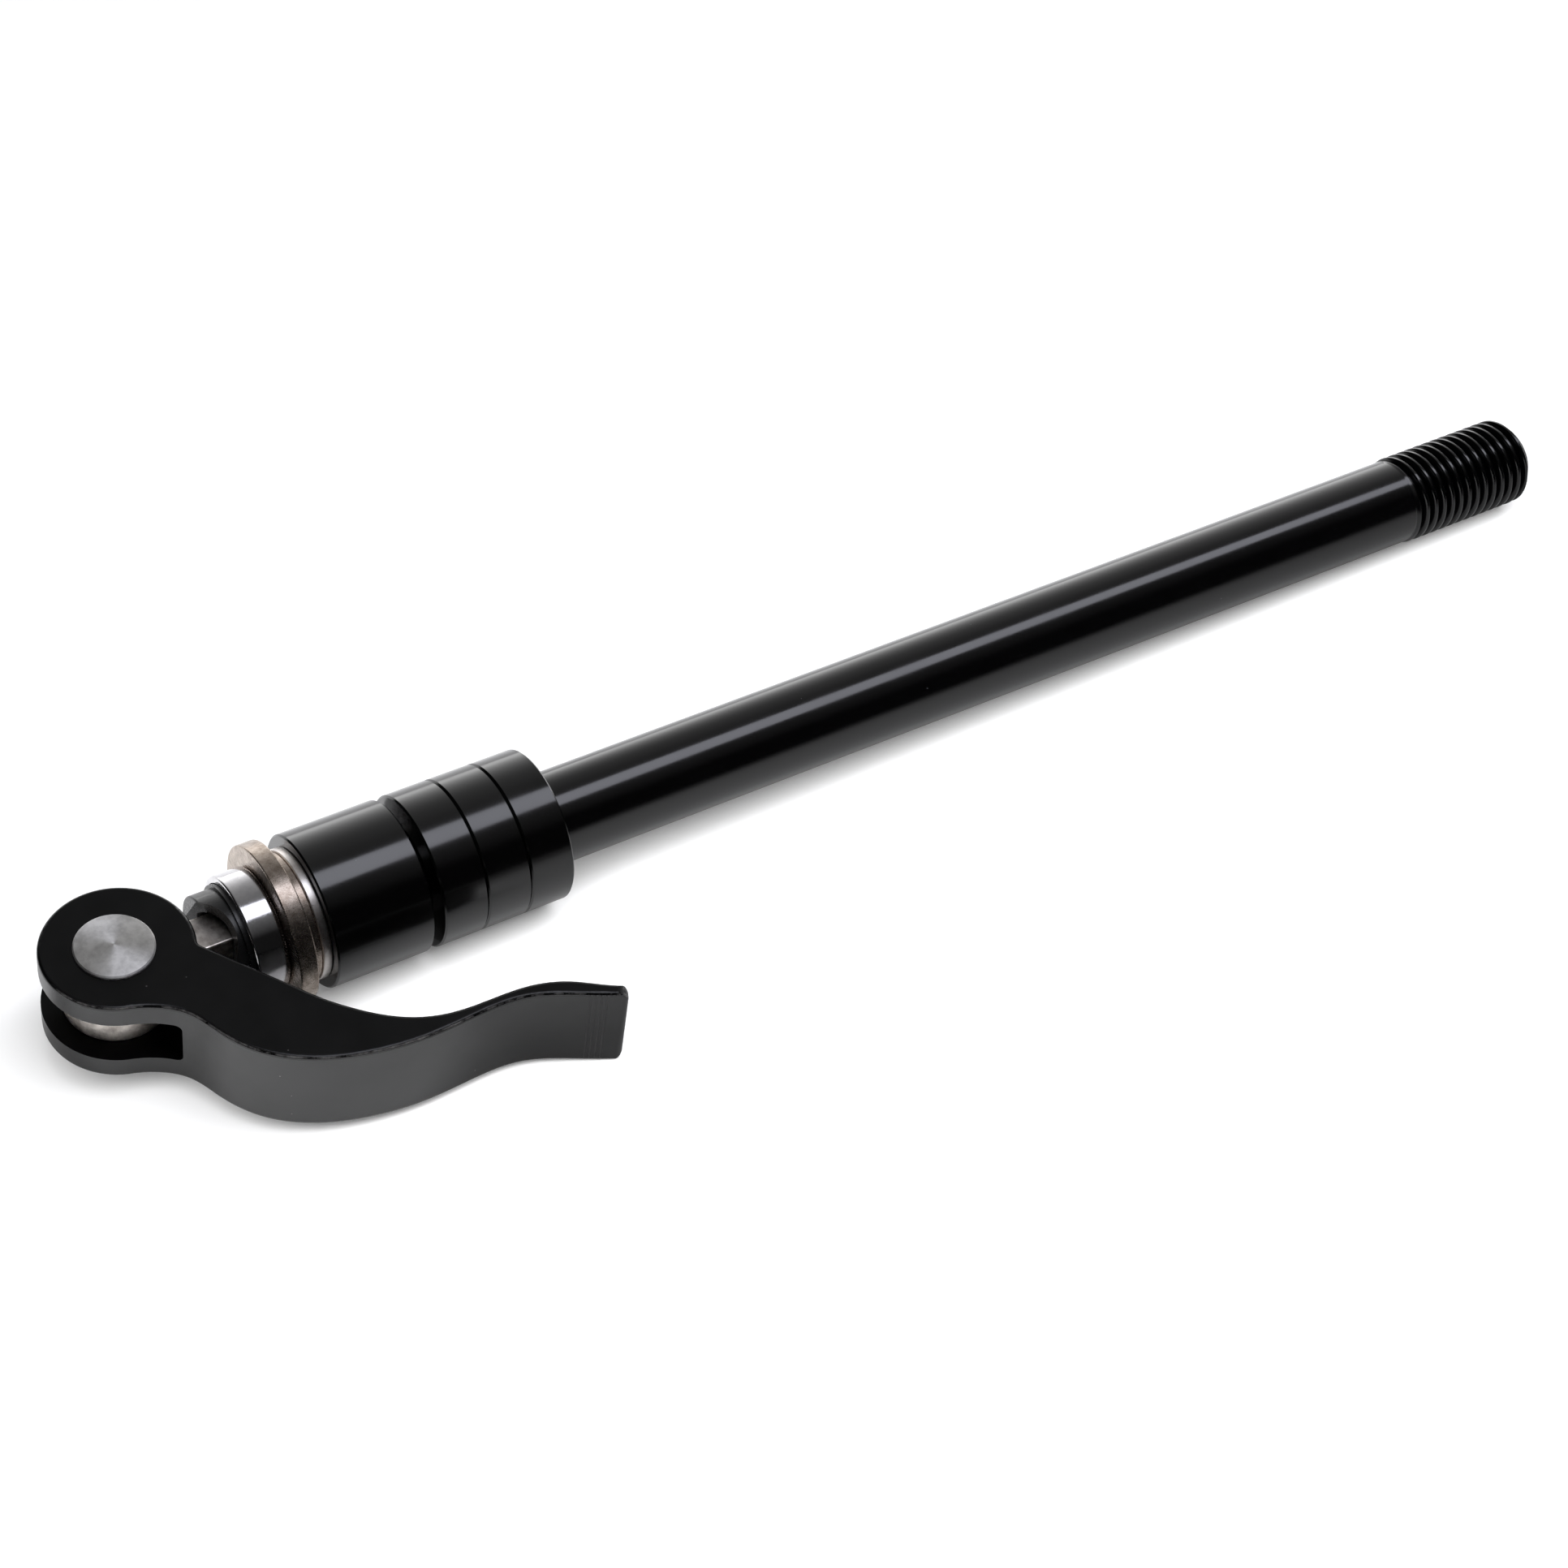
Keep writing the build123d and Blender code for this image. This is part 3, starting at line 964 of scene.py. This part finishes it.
@dataclass
class Studio:
    """The camera, the pale floor and the soft light, in metres."""

    camera_place: tuple[float, float, float] = (-0.14055, -0.21872, 0.2976)
    camera_right: tuple[float, float, float] = (0.84493, -0.5223, 0.11534)
    camera_forward: tuple[float, float, float] = (0.42457, 0.52374, -0.73854)
    lens: float = 75.23
    sensor: float = 36.0
    spacer_rest: tuple[float, float, float] = (-0.0002, -0.00118, -0.00943)
    thread_rest: tuple[float, float, float] = (0.1537, -0.00059, -0.00595)
    lever_rest: tuple[float, float, float] = (-0.00672, -0.03063, -0.00619)
    floor_size: float = 3.0
    floor_colour: Colour = (0.8, 0.8, 0.8)
    floor_glow: float = 0.17
    far_glow: float = 0.55
    far_reach: tuple[float, float] = (0.06, 0.3)
    floor_near: float = -0.01
    floor_far: float = -0.12
    near_share: float = 0.45
    far_share: float = 0.08
    thread_share: float = 0.65
    lever_start: tuple[float, float] = (-0.062, -0.008)
    lever_slope: float = -0.474
    ear_share: float = 1.05
    tip_share: float = 0.45
    share_blur: float = 0.01
    wash_place: tuple[float, float, float] = (-0.03, -0.203, 0.457)
    wash_size: tuple[float, float] = (1.1, 0.424)
    wash_tilt: float = -24.0
    wash_power: float = 7.0
    strip_place: tuple[float, float, float] = (0.375, -0.017, 0.57)
    strip_size: tuple[float, float] = (1.02, 0.205)
    strip_tilt: float = -21.8
    strip_yaw: float = 4.0
    strip_power: float = 1.6
    strip_colour: Colour = (0.88, 0.9, 1.0)
    back_glow: float = 3.2
    back_fall: float = 0.33
    zenith_glow: float = 0.16
    front_level: float = 0.01

    def build(self) -> None:
        """Sets up the camera, floor, strip light and world."""
        self.aim_camera()
        self.wash_floor(self.lay_floor())
        self.hang_strip()
        self.light_world()
        bpy.context.scene.view_settings.view_transform = "Standard"

    def aim_camera(self) -> None:
        """Stands the camera where the photograph was taken from."""
        right = Vector(self.camera_right).normalized()
        back = -Vector(self.camera_forward).normalized()
        up = back.cross(right).normalized()
        right = up.cross(back)
        turn = Matrix((right, up, back)).transposed().to_4x4()
        deselect_all()
        bpy.ops.object.camera_add()
        camera = bpy.context.object
        camera.name = "photo_camera"
        camera.matrix_world = Matrix.Translation(self.camera_place) @ turn
        camera.data.lens = self.lens
        camera.data.sensor_width = self.sensor
        camera.data.clip_start = 0.01
        bpy.context.scene.camera = camera

    def lay_floor(self) -> bpy.types.Object:
        """Lays the floor under the outermost spacer, the thread's end and the lever's tip.

        Returns:
            The floor.
        """
        points = [Vector(point) for point in (self.spacer_rest, self.lever_rest, self.thread_rest)]
        normal = (points[1] - points[0]).cross(points[2] - points[0]).normalized()
        turn = Vector((0.0, 0.0, 1.0)).rotation_difference(normal)
        deselect_all()
        bpy.ops.mesh.primitive_plane_add(size=self.floor_size, location=points[0], rotation=turn.to_euler())
        floor = bpy.context.object
        floor.name = "floor"
        bpy.ops.object.transform_apply(location=True, rotation=True, scale=True)
        dress(floor, self.floor_material())
        return floor

    def wash_floor(self, floor: bpy.types.Object) -> None:
        """Hangs a soft light that only the floor receives, so that it looks white round the shadow.

        Args:
            floor: The floor.
        """
        deselect_all()
        bpy.ops.object.light_add(type="AREA", location=self.wash_place)
        wash = bpy.context.object
        wash.name = "floor_wash"
        wash.data.shape = "RECTANGLE"
        wash.data.size, wash.data.size_y = self.wash_size
        wash.data.energy = self.wash_power
        wash.rotation_euler = (math.radians(self.wash_tilt), 0.0, 0.0)
        receivers = bpy.data.collections.new("floor_only")
        receivers.objects.link(floor)
        wash.light_linking.receiver_collection = receivers

    def floor_material(self) -> bpy.types.Material:
        """Returns a pale floor that looks white where light reaches it and keeps the shadow; in reflections its
        brightness is painted by region, as painted shade in front of the axle and by the thread and painted light
        beside the lever's ears.
        """
        graph = Graph("pale_floor")
        rays = graph.add("ShaderNodeLightPath").outputs
        along, side = graph.axes(graph.point())[:2]
        # painted reflection: glossy rays see the floor darkened by region, most in front of the axle and along the
        # thread, and brighter beside the lever's ears
        front = graph.spread(side, self.floor_far, self.floor_near, self.far_share, self.near_share)
        front = graph.calc("MULTIPLY", front, graph.spread(along, 0.03, 0.15, 1.0, self.thread_share))
        behind = graph.spread(side, 0.0, self.share_blur, 0.0, 1.0)
        from_x, from_y = self.lever_start
        edge = graph.calc("MULTIPLY_ADD", along, self.lever_slope, from_y - self.lever_slope * from_x)
        before_lever = graph.spread(
            graph.calc("SUBTRACT", side, edge), self.share_blur / 2, -self.share_blur / 2, 0.0, 1.0
        )
        fading = graph.spread(along, -0.05, 0.0, self.ear_share, self.tip_share)
        fading = graph.calc("MULTIPLY", fading, graph.spread(along, 2 * self.share_blur, 0.0, 0.0, 1.0))
        by_lever = graph.calc("MULTIPLY", before_lever, fading)
        painted_reflection_level = graph.calc("MAXIMUM", front, graph.calc("MAXIMUM", behind, by_lever))
        share = graph.tint(rays["Is Glossy Ray"], WHITE, graph.vector(painted_reflection_level, painted_reflection_level, painted_reflection_level))
        seen = graph.calc("MAXIMUM", rays["Is Camera Ray"], rays["Is Glossy Ray"])
        seen = graph.calc("MAXIMUM", seen, rays["Is Transmission Ray"])
        depth = graph.spread(side, *self.far_reach, self.floor_glow, self.far_glow)
        glow = graph.calc("MULTIPLY", seen, depth)
        colour = graph.add("ShaderNodeMix", {"data_type": "RGBA", "blend_type": "MULTIPLY"}, {0: 1.0, 6: share, 7: self.floor_colour})
        matt = graph.add("ShaderNodeBsdfDiffuse", inputs={"Color": colour.outputs[2]})
        light = graph.add("ShaderNodeEmission", inputs={"Color": share, "Strength": glow})
        both = graph.add("ShaderNodeAddShader", inputs={0: matt.outputs[0], 1: light.outputs[0]})
        graph.add("ShaderNodeOutputMaterial", inputs={"Surface": both.outputs[0]})
        return graph.material

    def hang_strip(self) -> None:
        """Hangs the long soft strip light over the axle."""
        deselect_all()
        bpy.ops.object.light_add(type="AREA", location=self.strip_place)
        strip = bpy.context.object
        strip.name = "strip_light"
        strip.data.shape = "RECTANGLE"
        strip.data.size, strip.data.size_y = self.strip_size
        strip.data.energy = self.strip_power
        strip.data.color = self.strip_colour
        strip.rotation_euler = (0.0, math.radians(self.strip_tilt), math.radians(self.strip_yaw))

    def light_world(self) -> None:
        """Lights the room from low behind the axle and leaves it dark in front."""
        world = bpy.data.worlds.new("studio")
        world.use_nodes = True
        bpy.context.scene.world = world
        tree = world.node_tree
        tree.nodes.clear()

        def sums(operation: str, *values: object) -> Socket:
            """Adds a Math node and returns its result."""
            node = tree.nodes.new("ShaderNodeMath")
            node.operation = operation
            for index, value in enumerate(values):
                if isinstance(value, Socket):
                    tree.links.new(value, node.inputs[index])
                else:
                    node.inputs[index].default_value = value
            return node.outputs[0]

        direction = tree.nodes.new("ShaderNodeTexCoord").outputs["Generated"]
        split = tree.nodes.new("ShaderNodeSeparateXYZ")
        tree.links.new(direction, split.inputs[0])
        height = sums("MAXIMUM", sums("ARCSINE", split.outputs["Z"]), 0.0)
        fall = sums("EXPONENT", sums("DIVIDE", height, -self.back_fall))
        back = sums("MINIMUM", sums("MAXIMUM", sums("MULTIPLY", split.outputs["Y"], 2.0), 0.0), 1.0)
        right = sums("MINIMUM", sums("MAXIMUM", sums("MULTIPLY_ADD", split.outputs["X"], 2.5, 0.9), 0.0), 1.0)
        glow = sums("MULTIPLY", sums("MULTIPLY", sums("MULTIPLY", fall, back), right), self.back_glow)
        above = sums("MULTIPLY", sums("MINIMUM", sums("MAXIMUM", sums("SUBTRACT", split.outputs["Z"], 0.6), 0.0), 0.35), self.zenith_glow / 0.35)
        level = sums("ADD", sums("ADD", glow, above), self.front_level)
        rays = tree.nodes.new("ShaderNodeLightPath").outputs
        shown = sums("ADD", rays["Is Camera Ray"], sums("MULTIPLY", sums("SUBTRACT", 1.0, rays["Is Camera Ray"]), level))
        light = tree.nodes.new("ShaderNodeBackground")
        tree.links.new(shown, light.inputs["Strength"])
        output = tree.nodes.new("ShaderNodeOutputWorld")
        tree.links.new(light.outputs[0], output.inputs["Surface"])


def main() -> None:
    """Builds the pieces in order and reports each one."""
    logging.basicConfig(level=logging.INFO, format="%(message)s")
    clear_startup_objects()
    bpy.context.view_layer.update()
    Studio().build()
    ThreadedAxle().build()
    TurnedRings().build()
    PivotPin().build()
    Fittings().dress_all()


if __name__ == "__main__":
    main()
